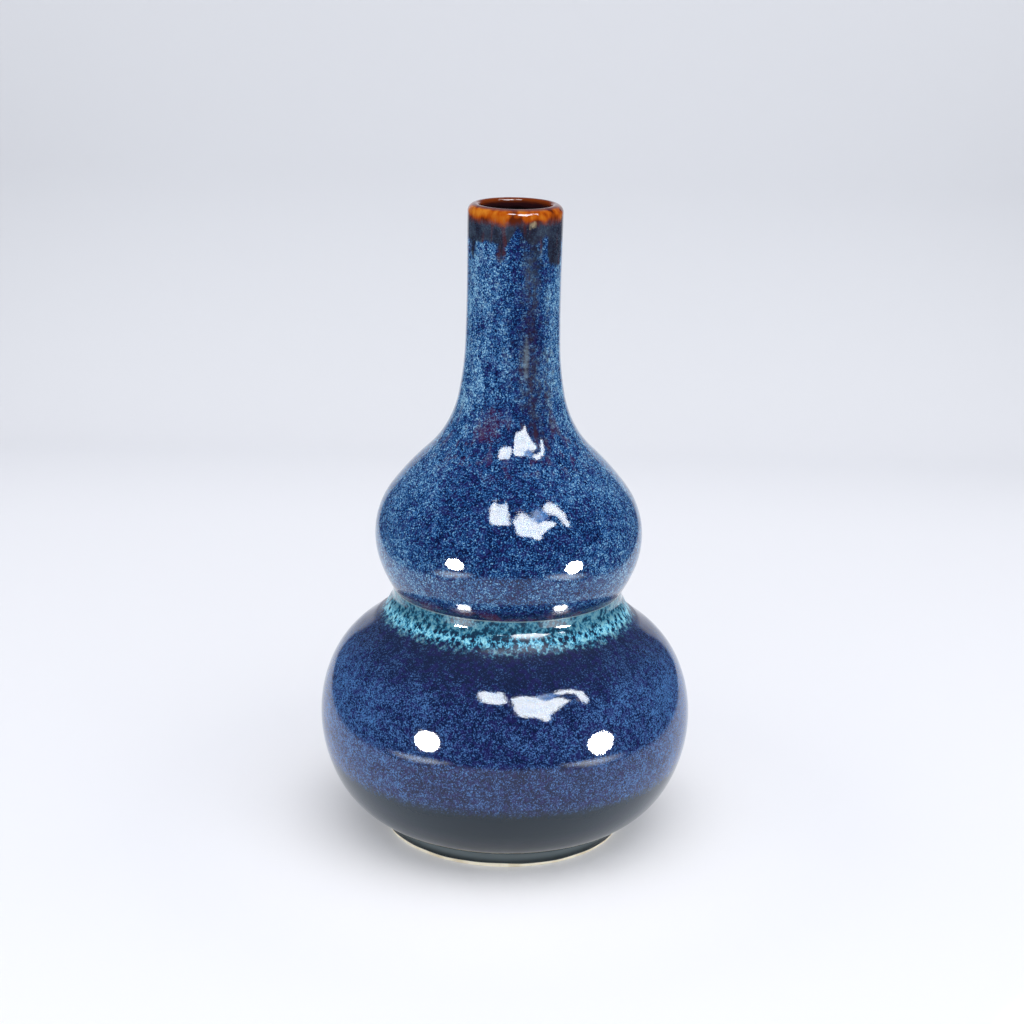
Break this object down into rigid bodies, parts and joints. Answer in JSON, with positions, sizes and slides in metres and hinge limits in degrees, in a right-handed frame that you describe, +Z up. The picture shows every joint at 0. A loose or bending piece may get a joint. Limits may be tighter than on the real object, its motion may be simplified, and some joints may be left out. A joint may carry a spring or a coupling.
{
  "type": "double gourd vase",
  "caption": "Thrown stoneware vase of two stacked round bulbs with a pinched waist, a long straight neck and a rounded lip, standing on a foot ring, with a drip glaze.",
  "frame": {"origin": "centre of the foot, in the plane it stands on", "axes": "+Z up along the axis of the vase towards the mouth; -Y is the side that the picture shows"},
  "size_m": [0.1466, 0.1466, 0.25],
  "materials": {
    "bare_clay": "matte",
    "clay": "matte",
    "slip": "matte",
    "liner_glaze": "gloss",
    "base_glaze": "gloss",
    "lower_blue_glaze": "gloss",
    "turquoise_glaze": "gloss",
    "upper_blue_glaze": "gloss",
    "lip_glaze": "gloss",
    "iron_glaze": "gloss"
  },
  "bodies": {
    "root": {"foot_ring": "bare_clay", "foot_slip": "slip", "lower_bulb": "clay", "waist_slip": "slip", "upper_bulb": "clay", "neck_slip": "slip", "neck": "clay", "liner_glaze": "liner_glaze", "base_glaze": "base_glaze", "lower_blue_glaze": "lower_blue_glaze", "turquoise_roll": "turquoise_glaze", "upper_blue_glaze": "upper_blue_glaze", "lip_glaze": "lip_glaze", "iron_run_1": "iron_glaze", "iron_run_2": "iron_glaze", "iron_run_3": "iron_glaze", "iron_run_4": "iron_glaze", "iron_run_5": "iron_glaze", "iron_run_6": "iron_glaze", "iron_run_7": "iron_glaze", "iron_run_8": "iron_glaze", "iron_run_9": "iron_glaze"}
  },
  "joints": []
}
